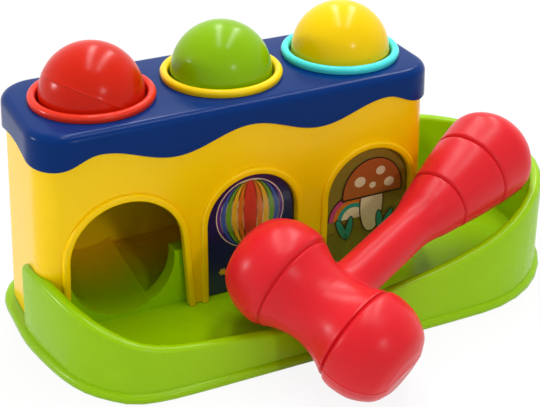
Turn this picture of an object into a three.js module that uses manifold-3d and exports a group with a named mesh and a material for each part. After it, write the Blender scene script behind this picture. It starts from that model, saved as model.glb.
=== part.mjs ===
// Pounding toy: three balls held in rings on a house, a run that leads them out to a tray, and a hammer.
// Millimetres, +Z up, the house's front looks along -Y and its ball outlet is on the left (-X).
import * as THREE from "three";
import { mergeVertices } from "three/addons/utils/BufferGeometryUtils.js";
import Module from "manifold-3d";

const wasm = await Module();
wasm.setup();

// Clearances
const FIT = 0.3; // between pieces that seat in one another
const SEAT = 0.12; // between faces that lie on one another
const TOUCH = 0.15; // between a ball and the lip that carries it

// Balls, rings and grips
const BALL_D = 46;
const BALL_WALL = 2.2;
const VENT_R = 1.2;
const BALL_GAP = 1;
const BALL_RISE = 1.5; // its centre above the lid
const SLEEVE_WALL = 2;
const BEAD_W = 3.8;
const BEAD_H = 3.3;
const RING_GAP = 5.4; // between neighbouring beads
const GRIP_T = 3;
const GRIP_LIP = 1.4;
const GRIP_DEPTH = 9.2; // from the ball's centre down to the lip

// House
const RING_MARGIN = 4.6; // from the outer beads to the ends of the house
const RING_SIDE = 4.2; // from the beads to its front and back
const HOUSE_SHIFT_X = -1.3; // house middle from the middle ring
const HOUSE_SHIFT_Y = -1;
const HOUSE_H = 93.4; // above the tray floor
const HOUSE_WALL = 2.5;
const HOUSE_CORNER_R = 15;
const END_DRAFT = 5.4; // each end leans out by this much towards the base
const SILL_DROP = 5.7; // the left end reaches down past the floor onto the flange

// Arches in the front
const OUTLET_ROOM = 2; // beside a ball that rolls out
const WINDOW_W = 44.8;
const ARCH_TOP = 61; // above the tray floor
const OUTLET_FLARE = 1.5;
const BEAD_RISE = 1.7;
const FRAME_W = 3.2;
const PANE_T = 1.6;
const PANE_LAP = 2.6;
const LABEL_T = 0.25;
const LABEL_INSET = 0.5;

// Lid
const LID_T = 2.5;
const LID_WALL = 1.6;
const LID_FILLET = 4;
const SKIRT_MEAN = 14.3; // lid top to the middle of the wavy edge
const SKIRT_WAVE = 4;
const WAVE_SHARE = 0.3694; // crest to crest along the front, as a share of the house's length
const WAVE_TURN = 1.35; // outer trough from the middle of the front, in waves
const WAVE_FADE = 0.4; // what is left of the wave round the ends
const BOSS_WALL = 1.6;
const LEDGE_T = 1.6;

// Tray
const FLOOR_Z = 10;
const FLOOR_T = 2;
const FLANGE_H = 4;
const FLANGE_W = 3.6;
const FLANGE_ROUND = 1.9; // of its upper edge
const LEFT_GAP = 6.9; // from the house's left end out to the line of the tray's wall
const BACK_SHELF = 7; // from its back
const FRONT_BAY = 48; // from its front
const END_SHIFT = 4; // from its right end to the middle of the tray's round end
const FRONT_CORNER = 40; // reach of the soft corner at the front left
const TRAY_CORNER_R = 25;
const WALL_DRAFT = 1.2; // its wall stands out at the foot
const RIM_W = 6;
const RIM_ROUND = 2;
const RIM_SKIN = 1.9;
const RIM_TAIL = 14; // how far the rim runs on behind the house
const RIM_START = 23; // where the rim begins, behind the house's front
const RIM_LEFT_Z = 38.4; // rim over the ground beside the outlet
const RIM_LOW_Z = 17.2; // at its lowest
const RIM_CORNER_Z = 34; // at the front right corner
const RIM_HIGH = 50; // and at the back

// Ball run inside the house
const RUN_T = 2;
const RUN_HIGH = 36.6; // top end above the ground
const RUN_KNEE_X = 12;
const RUN_KNEE_Z = 16.5;
const RUN_LOW_Z = 14.8;
const TROUGH_ROOM = 1.6; // beside a ball in the trough
const TROUGH_SKIN = 1.4;
const TROUGH_FALL = 3;
const TROUGH_TOP = 38;
const TROUGH_BACK = 17; // top of its wall inside the house
const CHEEK_DEPTH = 7;
const RIB_T = 2;

// Screws
const SCREW_R = 1.45;
const SCREW_HEAD_R = 3;
const SCREW_HEAD_H = 2;
const SCREW_LEN = 12;
const POST_R = 4;
const POST_H = 22;
const POST_INSET = 7.6; // from the inside of the house wall
const GUSSET_W = 11;
const GUSSET_D = 11.5;
const GUSSET_T = 2.6;
const GUSSET_DROP = 11.5; // from the house's top edge
const LID_POST_R = 3.6;
const LID_POST_INSET = 6.1;

// Hammer
const HEAD_LEN = 87.5;
const HEAD_R = 24;
const HEAD_WAIST_R = 17.4;
const HEAD_GROOVE = 17.7; // from the middle of the head to each groove
const HEAD_FACE_R = 12;
const GROOVE = 0.9;
const HANDLE_LEN = 136.8; // from the head's axis
const HANDLE_R = 10.2;
const HANDLE_END_R = 22.4;
const HAMMER_WALL = 2.4;
const HAMMER_ALONG = 0.5473; // middle of the head, as a share of the tray's front
const HAMMER_OUT = 9; // in front of the tray
const HAMMER_Z = 32.3;
const HEAD_DIR = new THREE.Vector3(0.4216, -0.8391, -0.3439); // towards the end on the ground
const HANDLE_DIR = new THREE.Vector3(0.9046, 0.3627, 0.224);

// Levels and radii that follow from the sizes above
const HOUSE_BASE = FLOOR_Z + FIT;
const HOUSE_TOP = HOUSE_BASE + HOUSE_H;
const LID_UNDER = HOUSE_TOP + FIT;
const LID_TOP = LID_UNDER + LID_T;
const BALL_R = BALL_D / 2;
const BALL_Z = LID_TOP + BALL_RISE;
const SLEEVE_IN = BALL_R + BALL_GAP;
const SLEEVE_OUT = SLEEVE_IN + SLEEVE_WALL;
const RING_OUT = SLEEVE_IN + BEAD_W;
const RING_PITCH = 2 * RING_OUT + RING_GAP;
const HOUSE_LEN = 2 * (RING_PITCH + RING_OUT + RING_MARGIN);
const HOUSE_DEPTH = 2 * (RING_OUT + RING_SIDE);
const FRONT_WAVE = WAVE_SHARE * HOUSE_LEN;
const OUTLET_W = BALL_D + 2 * OUTLET_ROOM;
const TROUGH_R = BALL_R + TROUGH_ROOM;
const HOLE_R = SLEEVE_OUT + FIT;
const GRIP_TOP = BALL_Z - GRIP_DEPTH;
const GRIP_R = Math.sqrt(BALL_R ** 2 - GRIP_DEPTH ** 2) + TOUCH;
const LEDGE_TOP = GRIP_TOP - GRIP_T - SEAT;
const LIP_OVER = LID_WALL + FIT;
const FRONT_Y = HOUSE_SHIFT_Y - HOUSE_DEPTH / 2;
const BACK_Y = HOUSE_SHIFT_Y + HOUSE_DEPTH / 2;
const LEFT_X = HOUSE_SHIFT_X - HOUSE_LEN / 2;
const RIGHT_X = HOUSE_SHIFT_X + HOUSE_LEN / 2;
const INNER_FRONT = FRONT_Y + HOUSE_WALL;
const INNER_BACK = BACK_Y - HOUSE_WALL;
const PANE_Y = INNER_FRONT + SEAT;
const RUN_FRONT = PANE_Y + PANE_T + FIT;
const RUN_BACK = INNER_BACK - FIT;
const TRAY_LEFT = LEFT_GAP - LEFT_X;
const TRAY_BACK = BACK_Y + BACK_SHELF;
const TRAY_FRONT = FRONT_Y - FRONT_BAY;
const TRAY_END_R = (TRAY_BACK - TRAY_FRONT) / 2;
const TRAY_END_X = RIGHT_X + END_SHIFT;
const RIM_START_Y = FRONT_Y + RIM_START;
const ring_x = [-RING_PITCH, 0, RING_PITCH];

// A closed geometry as a solid that faces outwards, without its degenerate triangles
function solid(geometry) {
  const bare = new THREE.BufferGeometry();
  const flat = geometry.index ? geometry.toNonIndexed() : geometry;
  bare.setAttribute("position", flat.getAttribute("position").clone());
  const merged = mergeVertices(bare, 1e-4);
  const p = merged.getAttribute("position").array;
  const index = merged.index.array;
  const kept = [];
  let volume = 0;
  for (let i = 0; i < index.length; i += 3) {
    const [a, b, c] = [index[i], index[i + 1], index[i + 2]];
    if (a === b || b === c || a === c) continue;
    kept.push(a, b, c);
    const A = new THREE.Vector3().fromArray(p, 3 * a);
    const B = new THREE.Vector3().fromArray(p, 3 * b);
    const C = new THREE.Vector3().fromArray(p, 3 * c);
    volume += A.dot(B.cross(C));
  }
  if (volume < 0) {
    for (let i = 0; i < kept.length; i += 3) [kept[i], kept[i + 1]] = [kept[i + 1], kept[i]];
  }
  return new wasm.Manifold(
    new wasm.Mesh({ numProp: 3, vertProperties: new Float32Array(p), triVerts: new Uint32Array(kept) }),
  );
}

// A solid as a geometry for a mesh
function geometryOf(manifold) {
  const mesh = manifold.getMesh();
  const points = new Float32Array(mesh.numVert * 3);
  for (let i = 0; i < mesh.numVert; i++) {
    points.set(mesh.vertProperties.subarray(i * mesh.numProp, i * mesh.numProp + 3), 3 * i);
  }
  const g = new THREE.BufferGeometry();
  g.setAttribute("position", new THREE.BufferAttribute(points, 3));
  g.setIndex(new THREE.BufferAttribute(new Uint32Array(mesh.triVerts), 1));
  const split = g.toNonIndexed();
  split.computeVertexNormals();
  return split;
}

const union = (first, ...rest) => rest.reduce((sum, s) => sum.add(s), first);
const v2 = (x, y) => new THREE.Vector2(x, y);
const v3 = (x, y, z) => new THREE.Vector3(x, y, z);

// Block between two corners
function block(x0, y0, z0, x1, y1, z1) {
  const g = new THREE.BoxGeometry(x1 - x0, y1 - y0, z1 - z0);
  return solid(g.translate((x0 + x1) / 2, (y0 + y1) / 2, (z0 + z1) / 2));
}

// Convex outline in plan between two heights, with caps that fan out from its middle
function plate(outline, z0, z1) {
  const n = outline.length;
  const middle = outline.reduce((sum, p) => sum.add(p), v2(0, 0)).divideScalar(n);
  const points = [z0, z1].flatMap((z) => outline.map((p) => v3(p.x, p.y, z)));
  points.push(v3(middle.x, middle.y, z0), v3(middle.x, middle.y, z1));
  const index = [];
  for (let i = 0; i < n; i++) {
    const j = (i + 1) % n;
    index.push(i, j, n + j, i, n + j, n + i, j, i, 2 * n, n + i, n + j, 2 * n + 1);
  }
  return solid(new THREE.BufferGeometry().setFromPoints(points).setIndex(index));
}

// Outline in the front view (x, z), between two depths
function slab(outline, y0, y1) {
  const g = new THREE.ExtrudeGeometry(new THREE.Shape(outline), { depth: y1 - y0, bevelEnabled: false });
  return solid(g.rotateX(Math.PI / 2).translate(0, y1, 0));
}

// Profile of radius and height turned about a vertical axis
function turned(profile, segments) {
  return solid(new THREE.LatheGeometry(profile, segments).rotateX(Math.PI / 2));
}

// Upright round bar
function bar(x, y, z0, z1, r, segments = 20) {
  const g = new THREE.CylinderGeometry(r, r, z1 - z0, segments).rotateX(Math.PI / 2);
  return solid(g.translate(x, y, (z0 + z1) / 2));
}

// Closed skin over a row of loops with as many points each, with a flat cap on the first and the last loop
function skin(loops, capOf) {
  const n = loops[0].length;
  const points = loops.flat();
  const index = [];
  for (let i = 0; i + 1 < loops.length; i++) {
    for (let j = 0; j < n; j++) {
      const a = i * n + j;
      const b = i * n + ((j + 1) % n);
      index.push(a, b, b + n, a, b + n, a + n);
    }
  }
  const last = (loops.length - 1) * n;
  for (const [a, b, c] of THREE.ShapeUtils.triangulateShape(capOf(loops[0]), [])) index.push(c, b, a);
  for (const [a, b, c] of THREE.ShapeUtils.triangulateShape(capOf(loops[loops.length - 1]), [])) {
    index.push(last + a, last + b, last + c);
  }
  const g = new THREE.BufferGeometry().setFromPoints(points);
  g.setIndex(index);
  return solid(g);
}

const inPlan = (loop) => loop.map((p) => v2(p.x, p.y));

// Rectangle with round corners, from its middle, sides and corner radius
function roundRect(cx, cy, w, d, r, steps) {
  const points = [];
  const corners = [
    [w / 2 - r, -d / 2 + r, -90],
    [w / 2 - r, d / 2 - r, 0],
    [-w / 2 + r, d / 2 - r, 90],
    [-w / 2 + r, -d / 2 + r, 180],
  ];
  for (const [x, y, from] of corners) {
    for (let i = 0; i <= steps; i++) {
      const a = THREE.MathUtils.degToRad(from + (90 * i) / steps);
      points.push(v2(cx + x + r * Math.cos(a), cy + y + r * Math.sin(a)));
    }
  }
  return points;
}

// Door-shaped outline in the front view: straight legs under a half circle
function arch(cx, half, z0, top, flare = 0, steps = 20) {
  const zc = top - half;
  const points = [v2(cx + half + flare, z0)];
  for (let i = 0; i <= steps; i++) {
    const a = (Math.PI * i) / steps;
    points.push(v2(cx + half * Math.cos(a), zc + half * Math.sin(a)));
  }
  points.push(v2(cx - half - flare, z0));
  return points;
}

// House: a tube that leans out a little at both ends
const leanAt = (z) => (END_DRAFT * (HOUSE_TOP - z)) / (HOUSE_TOP - FLANGE_H);
function houseTube(grow, z0, z1, corner) {
  const loop = (z) =>
    roundRect(
      HOUSE_SHIFT_X,
      HOUSE_SHIFT_Y,
      HOUSE_LEN + 2 * (grow + leanAt(z)),
      HOUSE_DEPTH + 2 * grow,
      corner + grow,
      9,
    ).map((p) => v3(p.x, p.y, z));
  return skin([loop(z0), loop(z1)], inPlan);
}
const sill_z = HOUSE_BASE - SILL_DROP;
const base_posts = [
  [LEFT_X + HOUSE_WALL + POST_INSET - END_DRAFT, INNER_FRONT + POST_INSET],
  [LEFT_X + HOUSE_WALL + POST_INSET - END_DRAFT, INNER_BACK - POST_INSET],
  [RIGHT_X - HOUSE_WALL - POST_INSET + END_DRAFT, INNER_FRONT + POST_INSET],
  [RIGHT_X - HOUSE_WALL - POST_INSET + END_DRAFT, INNER_BACK - POST_INSET],
];
const lid_posts = [
  [-RING_PITCH / 2, INNER_FRONT + LID_POST_INSET, -1],
  [RING_PITCH / 2, INNER_FRONT + LID_POST_INSET, -1],
  [-RING_PITCH / 2, INNER_BACK - LID_POST_INSET, 1],
  [RING_PITCH / 2, INNER_BACK - LID_POST_INSET, 1],
];
const gusset_top = HOUSE_TOP - GUSSET_DROP;
const arch_top = FLOOR_Z + ARCH_TOP;
const outlet_half = OUTLET_W / 2;
const window_half = WINDOW_W / 2;

// Tray: the line of its wall in plan with the height of the rim over each point
const { lerp } = THREE.MathUtils;
const frontAt = (share) => lerp(-TRAY_LEFT, TRAY_END_X, share);
function rimLine() {
  // Round the soft corner: way along the front and back from it in corners, and share of the fall
  const corner = [
    [0.08, FRONT_Y, 0.995],
    [0.18, TRAY_FRONT + 0.8125 * FRONT_CORNER, 0.905],
    [0.3, TRAY_FRONT + 0.5375 * FRONT_CORNER, 0.79],
    [0.47, TRAY_FRONT + 0.325 * FRONT_CORNER, 0.63],
    [0.675, TRAY_FRONT + 0.15 * FRONT_CORNER, 0.488],
    [0.95, TRAY_FRONT + 0.075 * FRONT_CORNER, 0.327],
  ].map(([x, y, fall]) => v3(-TRAY_LEFT + x * FRONT_CORNER, y, lerp(RIM_LOW_Z, RIM_LEFT_Z, fall)));
  // Along the front: share of its length, bulge in corners, and height of the rim
  const along = [
    [0.272, 0.05, lerp(RIM_LOW_Z, RIM_LEFT_Z, 0.194)],
    [0.377, 0.04, lerp(RIM_LOW_Z, RIM_LEFT_Z, 0.09)],
    [0.503, 0.03, RIM_LOW_Z],
    [0.61, 0.02, lerp(RIM_LOW_Z, RIM_CORNER_Z, 0.11)],
    [0.751, 0.015, lerp(RIM_LOW_Z, RIM_CORNER_Z, 0.363)],
    [0.892, 0.003, lerp(RIM_LOW_Z, RIM_CORNER_Z, 0.659)],
    [1, 0, RIM_CORNER_Z],
  ].map(([x, y, z]) => v3(frontAt(x), TRAY_FRONT + y * FRONT_CORNER, z));
  const start = [
    v3(-TRAY_LEFT, RIM_START_Y, lerp(RIM_LOW_Z, RIM_LEFT_Z, 0.95)),
    v3(-TRAY_LEFT + 0.012 * FRONT_CORNER, lerp(RIM_START_Y, FRONT_Y, 0.35), RIM_LEFT_Z),
  ];
  const front = new THREE.CatmullRomCurve3([...start, ...corner, ...along], false, "centripetal");
  const line = front.getSpacedPoints(38);
  const middle = v2(TRAY_END_X, TRAY_BACK - TRAY_END_R);
  const steps = 18;
  for (let i = 1; i <= steps; i++) {
    const a = -Math.PI / 2 + (Math.PI * i) / steps;
    const rise = THREE.MathUtils.smoothstep(i / steps, -0.36, 0.36);
    const z = RIM_CORNER_Z + (RIM_HIGH - RIM_CORNER_Z) * (2 * rise - 1);
    line.push(v3(middle.x + TRAY_END_R * Math.cos(a), middle.y + TRAY_END_R * Math.sin(a), z));
  }
  line.push(v3(RIGHT_X - RIM_TAIL, TRAY_BACK, RIM_HIGH));
  return line;
}
const rim = rimLine();

// The same line closed round the back, moved out by some distance
function trayOutline(out) {
  const line = rim.map((p) => v2(p.x, p.y));
  const corner = v2(-TRAY_LEFT + TRAY_CORNER_R, TRAY_BACK - TRAY_CORNER_R);
  for (let i = 0; i <= 8; i++) {
    const a = Math.PI / 2 + (Math.PI * i) / 16;
    line.push(v2(corner.x + TRAY_CORNER_R * Math.cos(a), corner.y + TRAY_CORNER_R * Math.sin(a)));
  }
  return line.map((p, i) => {
    const before = line[(i + line.length - 1) % line.length];
    const after = line[(i + 1) % line.length];
    const t = after.clone().sub(before).normalize();
    return v2(p.x + out * t.y, p.y - out * t.x);
  });
}

// A section carried along the line, at each point with the height of the rim there
function alongRim(section) {
  const loops = rim.map((p, i) => {
    const a = rim[Math.max(0, i - 1)];
    const b = rim[Math.min(rim.length - 1, i + 1)];
    const t = v2(b.x - a.x, b.y - a.y).normalize();
    return section(p.z).map((q) => v3(p.x + q.x * t.y, p.y - q.x * t.x, q.y));
  });
  const ends = [rim[0].z, rim[rim.length - 1].z];
  return skin(loops, (loop) => section(loop === loops[0] ? ends[0] : ends[1]));
}

// Wall with a round rim, and the room inside it that opens downwards
const wallSection = (h) => [
  v2(WALL_DRAFT, FLANGE_H - 1),
  v2(-0.2, h - RIM_ROUND),
  v2(-0.2 - 0.3 * RIM_ROUND, h - 0.3 * RIM_ROUND),
  v2(-0.2 - RIM_ROUND, h),
  v2(-RIM_W + 0.2 + RIM_ROUND, h),
  v2(-RIM_W + 0.2 + 0.3 * RIM_ROUND, h - 0.3 * RIM_ROUND),
  v2(-RIM_W + 0.2, h - RIM_ROUND),
  v2(-RIM_W, FLOOR_Z + 2),
  v2(-RIM_W - 0.5, FLOOR_Z + 0.5),
  v2(-RIM_W - 1.5, FLOOR_Z - FLOOR_T / 2),
  v2(-RIM_W - 1.5, FLANGE_H - 1),
];
const roomSection = (h) => [
  v2(-RIM_SKIN, -1),
  v2(-RIM_SKIN, h - RIM_SKIN - 0.4),
  v2(-RIM_W + RIM_SKIN, h - RIM_SKIN - 0.4),
  v2(-RIM_W + RIM_SKIN, -1),
];

// Ball run: profile of its top side in the front view, from the trough up to the right end
const run_right = RIGHT_X + END_DRAFT - HOUSE_WALL - POST_INSET - POST_R - FIT;
const run_left = -RING_PITCH + TROUGH_R * 0.5;
function ballRun() {
  const base = FLOOR_Z + SEAT;
  const top = [v2(run_left, RUN_LOW_Z), v2(RUN_KNEE_X, RUN_KNEE_Z), v2(run_right, RUN_HIGH)];
  const under = top.map((p) => v2(p.x, p.y - RUN_T)).reverse();
  let run = slab([...top, ...under], RUN_FRONT, RUN_BACK);
  const slope = (RUN_HIGH - RUN_KNEE_Z) / (run_right - RUN_KNEE_X);
  for (const share of [0.25, 0.62, 1]) {
    const x = RUN_KNEE_X + share * (run_right - RUN_KNEE_X) - RIB_T;
    const z = RUN_KNEE_Z + slope * (x - RUN_KNEE_X) - RUN_T / 2;
    run = run.add(block(x, RUN_FRONT + 3, base, x + RIB_T, RUN_BACK - 3, z));
  }
  run = run.add(block(-RING_PITCH / 4, RUN_FRONT + 3, base, -RING_PITCH / 4 + RIB_T, RUN_BACK - 3, RUN_LOW_Z - RUN_T / 2));
  // Trough: a block with a round channel that falls towards the outlet, hollow from below
  const outer = TROUGH_R + RUN_T;
  const x0 = Math.max(-RING_PITCH - outer, base_posts[0][0] + POST_R + FIT);
  const x1 = -RING_PITCH + outer;
  let trough = block(x0, RUN_FRONT, base, x1, RUN_BACK, TROUGH_TOP);
  trough = trough.subtract(block(x0 - 1, RUN_FRONT + CHEEK_DEPTH, TROUGH_BACK, -RING_PITCH, RUN_BACK + 1, TROUGH_TOP + 1));
  const fall = Math.atan2(TROUGH_FALL, RUN_BACK - RUN_FRONT);
  const bore = new THREE.CylinderGeometry(TROUGH_R, TROUGH_R, 120, 56);
  bore.rotateX(fall);
  bore.translate(-RING_PITCH, RUN_FRONT, FLOOR_Z + TROUGH_SKIN + TROUGH_R);
  trough = trough.subtract(solid(bore));
  run = union(run, trough);
  // Way in from the run, behind the cheek beside the outlet
  const way = [v2(run_left, RUN_LOW_Z), v2(x1 + 0.01, RUN_LOW_Z + ((RUN_KNEE_Z - RUN_LOW_Z) * (x1 - run_left)) / (RUN_KNEE_X - run_left))];
  way.push(v2(x1 + 0.01, TROUGH_TOP + 1), v2(run_left, TROUGH_TOP + 1));
  run = run.subtract(slab(way, RUN_FRONT + CHEEK_DEPTH, RUN_BACK + 1));
  return run.intersect(houseTube(-HOUSE_WALL - FIT, 0, HOUSE_TOP, HOUSE_CORNER_R));
}

// Tray: a flange, a raised floor, the wall with its rim, and room for the house's left end
const sill_x = LEFT_X + HOUSE_WALL - END_DRAFT + 2 * FIT;
const sill = block(-TRAY_LEFT - 20, RIM_START_Y, FLANGE_H - 0.5, sill_x, TRAY_BACK + 20, FLOOR_Z + 20);
function tray() {
  const lip = [
    [0.4, 0],
    [0, 0.5],
    [0, FLANGE_H - FLANGE_ROUND],
    [0.3 * FLANGE_ROUND, FLANGE_H - 0.3 * FLANGE_ROUND],
    [FLANGE_ROUND, FLANGE_H],
  ];
  const flange = skin(
    lip.map(([by, z]) => trayOutline(FLANGE_W - by).map((p) => v3(p.x, p.y, z))),
    inPlan,
  );
  const floor = plate(trayOutline(-RIM_SKIN / 2), FLANGE_H - 1.5, FLOOR_Z).subtract(sill);
  const under = plate(trayOutline(-1.6 * RIM_SKIN), -1, FLOOR_Z - FLOOR_T);
  const kept = block(-TRAY_LEFT - 1, RIM_START_Y - RIM_SKIN, FLANGE_H - 1.7, sill_x + RIM_SKIN, TRAY_BACK + 1, FLOOR_Z);
  let body = union(flange, floor, alongRim(wallSection));
  body = body.subtract(under.subtract(kept));
  body = body.subtract(alongRim(roomSection));
  body = body.subtract(houseTube(FIT, FLOOR_Z + 0.2, HOUSE_TOP, HOUSE_CORNER_R));
  for (const [x, y] of base_posts) body = body.subtract(bar(x, y, -1, FLOOR_Z + 1, SCREW_R + FIT));
  return body;
}

function house() {
  const outer = houseTube(0, sill_z, HOUSE_TOP, HOUSE_CORNER_R);
  const inner = houseTube(-HOUSE_WALL, sill_z - 1, HOUSE_TOP + 1, HOUSE_CORNER_R);
  let shell = outer.subtract(inner);
  for (const [x, y] of base_posts) {
    const post = bar(x, y, HOUSE_BASE, HOUSE_BASE + POST_H, POST_R);
    const web = block(x < 0 ? LEFT_X - END_DRAFT : x, y - 1, HOUSE_BASE, x < 0 ? x : RIGHT_X + END_DRAFT, y + 1, HOUSE_BASE + POST_H);
    shell = union(shell, post, web.intersect(outer));
  }
  for (const [x, y, side] of lid_posts) {
    const wall = side < 0 ? FRONT_Y + HOUSE_WALL / 2 : BACK_Y - HOUSE_WALL / 2;
    const reach = wall - side * GUSSET_D;
    const [y0, y1] = [Math.min(wall, reach), Math.max(wall, reach)];
    const z0 = gusset_top - GUSSET_T;
    shell = shell.add(block(x - GUSSET_W / 2, y0, z0, x + GUSSET_W / 2, y1, gusset_top));
    shell = shell.subtract(bar(x, y, z0 - 1, gusset_top + 1, SCREW_R + FIT));
  }
  // Everything but the left end stops at the floor
  const floor_cut = block(LEFT_X - 30, FRONT_Y - 30, 0, RIGHT_X + 30, BACK_Y + 30, HOUSE_BASE);
  shell = shell.subtract(floor_cut.subtract(sill.subtract(block(-200, -200, 0, 200, RIM_START_Y + FIT, 60))));
  for (const [x, y] of base_posts) shell = shell.subtract(bar(x, y, 0, HOUSE_BASE + POST_H - 2, SCREW_R + FIT));
  // Arches, each with a raised frame round it
  const arches = [
    [ring_x[0], outlet_half, OUTLET_FLARE],
    [ring_x[1], window_half, 0],
    [ring_x[2], window_half, 0],
  ];
  for (const [x, half, flare] of arches) {
    const wide = arch(x, half + FRAME_W, HOUSE_BASE, arch_top + FRAME_W, flare, 18);
    const mid = arch(x, half + FRAME_W - 0.6, HOUSE_BASE, arch_top + FRAME_W - 0.6, flare, 18);
    const crown = arch(x, half + FRAME_W - 1.5, HOUSE_BASE, arch_top + FRAME_W - 1.5, flare, 18);
    shell = shell.add(slab(wide, FRONT_Y - 0.55 * BEAD_RISE, FRONT_Y + 1));
    shell = shell.add(slab(mid, FRONT_Y - 0.85 * BEAD_RISE, FRONT_Y + 1));
    shell = shell.add(slab(crown, FRONT_Y - BEAD_RISE, FRONT_Y + 1));
  }
  for (const [x, half, flare] of arches) {
    const cut = arch(x, half, sill_z - 1, arch_top, flare, 18);
    const ease = arch(x, half + 0.7, sill_z - 1, arch_top + 0.7, flare, 18);
    shell = shell.subtract(slab(cut, FRONT_Y - 20, INNER_FRONT + 1));
    shell = shell.subtract(slab(ease, FRONT_Y - 20, FRONT_Y - 0.7 * BEAD_RISE));
  }
  return shell;
}

// Lid: height of the wavy edge at each step round it, counted from the middle of the front
function lid() {
  const lean = leanAt(LID_TOP - SKIRT_MEAN - SKIRT_WAVE);
  const w = HOUSE_LEN + 2 * (LIP_OVER + lean);
  const d = HOUSE_DEPTH + 2 * LIP_OVER;
  const r = HOUSE_CORNER_R + LIP_OVER;
  const round = [];
  const plain = roundRect(0, 0, w, d, r, 8);
  for (let i = 0; i < plain.length; i++) {
    const a = plain[i];
    const b = plain[(i + 1) % plain.length];
    const parts = Math.max(1, Math.round(a.distanceTo(b) / 6));
    for (let j = 0; j < parts; j++) round.push(a.clone().lerp(b, j / parts));
  }
  const half = w + d - (4 - Math.PI) * r;
  const along = [];
  let run = 0;
  const start = round.findIndex((p) => p.y < -d / 2 + 0.01 && p.x > 0);
  const at_front = round[start].x;
  for (let i = 0; i < round.length; i++) {
    const k = (start + i) % round.length;
    const next = round[(k + 1) % round.length];
    along[k] = at_front + run;
    run += round[k].distanceTo(next);
  }
  const edge = along.map((s) => {
    const way = Math.min(s % run, run - (s % run));
    const near = Math.min(way, half - way);
    const turn = WAVE_TURN * FRONT_WAVE;
    const past = (0.5 * (near - FRONT_WAVE)) / (turn - FRONT_WAVE);
    const over = (0.5 * (near - turn)) / (half / 2 - turn);
    const phase = near < FRONT_WAVE ? near / FRONT_WAVE : near < turn ? 1 + past : 1.5 + over;
    const fade = lerp(1, WAVE_FADE, THREE.MathUtils.smoothstep(near, FRONT_WAVE, turn));
    return LID_TOP - SKIRT_MEAN + fade * SKIRT_WAVE * Math.cos(2 * Math.PI * phase);
  });
  const inset = (p, by) => {
    const cx = THREE.MathUtils.clamp(p.x, -w / 2 + r, w / 2 - r);
    const cy = THREE.MathUtils.clamp(p.y, -d / 2 + r, d / 2 - r);
    const n = v2(p.x - cx, p.y - cy).normalize();
    return v2(p.x - by * n.x + HOUSE_SHIFT_X, p.y - by * n.y + HOUSE_SHIFT_Y);
  };
  const loop = (by, z) => round.map((p, i) => {
    const q = inset(p, by);
    const level = typeof z === "number" ? z : z(i);
    const stretch = 1 + (2 * (leanAt(level) - lean)) / w;
    return v3(HOUSE_SHIFT_X + (q.x - HOUSE_SHIFT_X) * stretch, q.y, level);
  });
  const outer = [loop(0.5, (i) => edge[i]), loop(0, (i) => edge[i] + 0.6)];
  for (let i = 0; i <= 3; i++) {
    const a = (Math.PI * i) / 6;
    outer.push(loop(LID_FILLET * (1 - Math.cos(a)), LID_TOP - LID_FILLET * (1 - Math.sin(a))));
  }
  const inner = [loop(LID_WALL, (i) => edge[i] - 4), loop(LID_WALL, LID_UNDER)];
  let cap = skin(outer, inPlan).subtract(skin(inner, inPlan));
  for (const x of ring_x) {
    const boss = LEDGE_TOP - LEDGE_T;
    cap = cap.add(bar(x, 0, boss, LID_UNDER + 1, HOLE_R + BOSS_WALL, 32));
    cap = cap.subtract(bar(x, 0, LEDGE_TOP, LID_TOP + 5, HOLE_R, 32));
    cap = cap.subtract(bar(x, 0, boss - 1, LEDGE_TOP + 1, SLEEVE_IN + 0.2, 32));
  }
  for (const [x, y] of lid_posts) {
    cap = cap.add(bar(x, y, gusset_top + SEAT, LID_UNDER + 1, LID_POST_R, 16));
    cap = cap.subtract(bar(x, y, gusset_top - 1, LID_UNDER - 1, SCREW_R + FIT, 12));
  }
  return cap;
}

// Ring: a round bead on the lid and a sleeve down its hole
function ring() {
  const z0 = LID_TOP + SEAT;
  const profile = [v2(SLEEVE_IN, GRIP_TOP + FIT), v2(SLEEVE_OUT, GRIP_TOP + FIT), v2(SLEEVE_OUT, z0)];
  const out = SLEEVE_IN + BEAD_W;
  profile.push(v2(out - 0.4, z0));
  for (let i = 0; i <= 6; i++) {
    const a = THREE.MathUtils.degToRad(-10 + (190 * i) / 6);
    const mid = SLEEVE_IN + BEAD_W / 2;
    profile.push(v2(mid + (BEAD_W / 2) * Math.cos(a), z0 + BEAD_H - BEAD_W / 2 + (BEAD_W / 2) * Math.sin(a)));
  }
  profile.push(v2(SLEEVE_IN, GRIP_TOP + FIT));
  return turned(profile, 36);
}

// Grip: a soft washer whose thin lip carries the ball
function grip() {
  const z1 = GRIP_TOP;
  const z0 = z1 - GRIP_T;
  const body_r = SLEEVE_IN + 0.2;
  return turned(
    [
      v2(GRIP_R, z1),
      v2(GRIP_R, z1 - GRIP_LIP * 0.7),
      v2(body_r, z1 - GRIP_LIP),
      v2(body_r, z0),
      v2(SLEEVE_OUT, z0),
      v2(SLEEVE_OUT, z1),
      v2(GRIP_R, z1),
    ],
    30,
  );
}

// Ball: a blown shell with its vent below
function ball() {
  const half = (r, steps) => {
    const points = [];
    for (let i = 0; i <= steps; i++) {
      const a = -Math.PI / 2 + (Math.PI * i) / steps;
      points.push(v2(i % steps ? r * Math.cos(a) : 0, r * Math.sin(a)));
    }
    return points;
  };
  const shell = turned(half(BALL_R, 14), 26).subtract(turned(half(BALL_R - BALL_WALL, 6), 10));
  return shell.subtract(bar(0, 0, -BALL_R - 1, 0, VENT_R, 10));
}

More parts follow.
